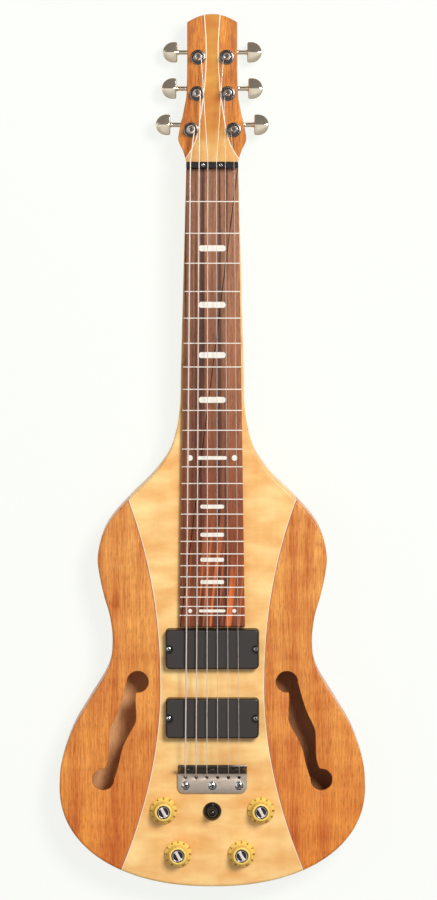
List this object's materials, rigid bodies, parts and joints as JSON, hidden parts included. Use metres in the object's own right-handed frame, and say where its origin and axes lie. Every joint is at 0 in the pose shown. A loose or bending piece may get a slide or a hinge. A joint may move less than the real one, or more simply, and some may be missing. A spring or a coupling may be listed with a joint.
{
  "type": "lap steel guitar",
  "caption": "Neck-through electric lap steel guitar with hollow f-hole wings, soapbar pickups, geared tuners, skirted knobs and a toggle selector.",
  "frame": {"origin": "middle of the instrument's length and width, on the plane of its flat back", "axes": "+X across the strings towards the treble side, +Y from the tail towards the headstock, +Z out of the face"},
  "size_m": [0.2942, 0.8382, 0.0625],
  "materials": {
    "maple": "clear satin lacquer over straight-grained maple",
    "mahogany": "clear satin lacquer over open-pored mahogany",
    "accent": "rose and cream veneer laminate",
    "rosewood": "oiled rosewood with dark streaks",
    "black_gloss": "gloss",
    "black_satin": "satin with polished edges",
    "amber": "gloss, slightly translucent",
    "bridge_steel": "brushed top with polished edges",
    "chrome": "polished",
    "pot_metal": "plain zinc plate",
    "string_wire": "plain steel, nickel wound on the bass side"
  },
  "bodies": {
    "instrument": {"core": "maple", "wing_frame_bass": "mahogany", "wing_frame_treble": "mahogany", "wing_top_bass": "mahogany", "wing_top_treble": "mahogany", "body_accent_bass": "accent", "body_accent_treble": "accent", "head_ear_bass": "mahogany", "head_ear_treble": "mahogany", "head_accent_bass": "accent", "head_accent_treble": "accent", "fingerboard": "rosewood", "nut": "black_gloss", "bridge_plate": "bridge_steel", "bridge_screw_bass": "chrome", "bridge_screw_centre": "chrome", "bridge_screw_treble": "chrome", "pot_bass_upper": "pot_metal", "pot_treble_upper": "pot_metal", "pot_bass_lower": "pot_metal", "pot_treble_lower": "pot_metal", "selector_body": "black_satin", "selector_ring": "black_gloss", "rear_cover": "black_satin", "output_jack": "chrome", "string_1": "string_wire", "string_2": "string_wire", "string_3": "string_wire", "string_4": "string_wire", "string_5": "string_wire", "string_6": "string_wire", "tuner_housing_1": "chrome", "tuner_housing_2": "chrome", "tuner_housing_3": "chrome", "tuner_housing_4": "chrome", "tuner_housing_5": "chrome", "tuner_housing_6": "chrome"},
    "neck_pickup": {"pickup_neck": "black_satin", "pickup_screw_neck_bass": "chrome", "pickup_screw_neck_treble": "chrome"},
    "bridge_pickup": {"pickup_bridge": "black_satin", "pickup_screw_bridge_bass": "chrome", "pickup_screw_bridge_treble": "chrome"},
    "bass_upper_knob": {"knob_bass_upper": "amber"},
    "treble_upper_knob": {"knob_treble_upper": "amber"},
    "bass_lower_knob": {"knob_bass_lower": "amber"},
    "treble_lower_knob": {"knob_treble_lower": "amber"},
    "lever": {"selector_lever": "black_gloss"},
    "button_1": {"tuner_button_1": "chrome"},
    "button_2": {"tuner_button_2": "chrome"},
    "button_3": {"tuner_button_3": "chrome"},
    "button_4": {"tuner_button_4": "chrome"},
    "button_5": {"tuner_button_5": "chrome"},
    "button_6": {"tuner_button_6": "chrome"},
    "post_1": {"tuner_post_1": "chrome"},
    "post_2": {"tuner_post_2": "chrome"},
    "post_3": {"tuner_post_3": "chrome"},
    "post_4": {"tuner_post_4": "chrome"},
    "post_5": {"tuner_post_5": "chrome"},
    "post_6": {"tuner_post_6": "chrome"}
  },
  "joints": [
    {"name": "neck_pickup_height", "type": "slide", "parent": "instrument", "child": "neck_pickup", "axis": [0, 0, 1], "range_m": [-0.003, 0.0025]},
    {"name": "bridge_pickup_height", "type": "slide", "parent": "instrument", "child": "bridge_pickup", "axis": [0, 0, 1], "range_m": [-0.003, 0.0025]},
    {"name": "bass_upper_knob_turn", "type": "hinge", "parent": "instrument", "child": "bass_upper_knob", "pos_m": [-0.0469, -0.34485, 0.045], "axis": [0, 0, 1], "range_deg": [-150, 150]},
    {"name": "treble_upper_knob_turn", "type": "hinge", "parent": "instrument", "child": "treble_upper_knob", "pos_m": [0.0469, -0.34485, 0.045], "axis": [0, 0, 1], "range_deg": [-150, 150]},
    {"name": "bass_lower_knob_turn", "type": "hinge", "parent": "instrument", "child": "bass_lower_knob", "pos_m": [-0.033, -0.38705, 0.045], "axis": [0, 0, 1], "range_deg": [-150, 150]},
    {"name": "treble_lower_knob_turn", "type": "hinge", "parent": "instrument", "child": "treble_lower_knob", "pos_m": [0.0282, -0.38705, 0.045], "axis": [0, 0, 1], "range_deg": [-150, 150]},
    {"name": "selector_tilt", "type": "hinge", "parent": "instrument", "child": "lever", "pos_m": [0, -0.34575, 0.042], "axis": [1, 0, 0], "range_deg": [-13, 13]},
    {"name": "button_1_turn", "type": "hinge", "parent": "instrument", "child": "button_1", "pos_m": [-0.02031, 0.31334, 0.02149], "axis": [1, 0, 0], "continuous": true},
    {"name": "button_2_turn", "type": "hinge", "parent": "instrument", "child": "button_2", "pos_m": [-0.01459, 0.34789, 0.01846], "axis": [1, 0, 0], "continuous": true},
    {"name": "button_3_turn", "type": "hinge", "parent": "instrument", "child": "button_3", "pos_m": [-0.01358, 0.38244, 0.01544], "axis": [1, 0, 0], "continuous": true},
    {"name": "button_4_turn", "type": "hinge", "parent": "instrument", "child": "button_4", "pos_m": [0.01358, 0.38244, 0.01544], "axis": [1, 0, 0], "continuous": true},
    {"name": "button_5_turn", "type": "hinge", "parent": "instrument", "child": "button_5", "pos_m": [0.01459, 0.34789, 0.01846], "axis": [1, 0, 0], "continuous": true},
    {"name": "button_6_turn", "type": "hinge", "parent": "instrument", "child": "button_6", "pos_m": [0.02031, 0.31334, 0.02149], "axis": [1, 0, 0], "continuous": true},
    {"name": "post_1_turn", "type": "hinge", "parent": "instrument", "child": "post_1", "pos_m": [-0.02031, 0.30895, 0.04239], "axis": [0, 0.0872, 0.9962], "continuous": true},
    {"name": "post_2_turn", "type": "hinge", "parent": "instrument", "child": "post_2", "pos_m": [-0.01459, 0.3435, 0.03937], "axis": [0, 0.0872, 0.9962], "continuous": true},
    {"name": "post_3_turn", "type": "hinge", "parent": "instrument", "child": "post_3", "pos_m": [-0.01358, 0.37805, 0.03635], "axis": [0, 0.0872, 0.9962], "continuous": true},
    {"name": "post_4_turn", "type": "hinge", "parent": "instrument", "child": "post_4", "pos_m": [0.01358, 0.37805, 0.03635], "axis": [0, 0.0872, 0.9962], "continuous": true},
    {"name": "post_5_turn", "type": "hinge", "parent": "instrument", "child": "post_5", "pos_m": [0.01459, 0.3435, 0.03937], "axis": [0, 0.0872, 0.9962], "continuous": true},
    {"name": "post_6_turn", "type": "hinge", "parent": "instrument", "child": "post_6", "pos_m": [0.02031, 0.30895, 0.04239], "axis": [0, 0.0872, 0.9962], "continuous": true}
  ],
  "couplings": [
    {"joint": "post_1_turn", "follows": "button_1_turn", "ratio": 0.083333},
    {"joint": "post_2_turn", "follows": "button_2_turn", "ratio": 0.083333},
    {"joint": "post_3_turn", "follows": "button_3_turn", "ratio": 0.083333},
    {"joint": "post_4_turn", "follows": "button_4_turn", "ratio": 0.083333},
    {"joint": "post_5_turn", "follows": "button_5_turn", "ratio": 0.083333},
    {"joint": "post_6_turn", "follows": "button_6_turn", "ratio": 0.083333}
  ]
}
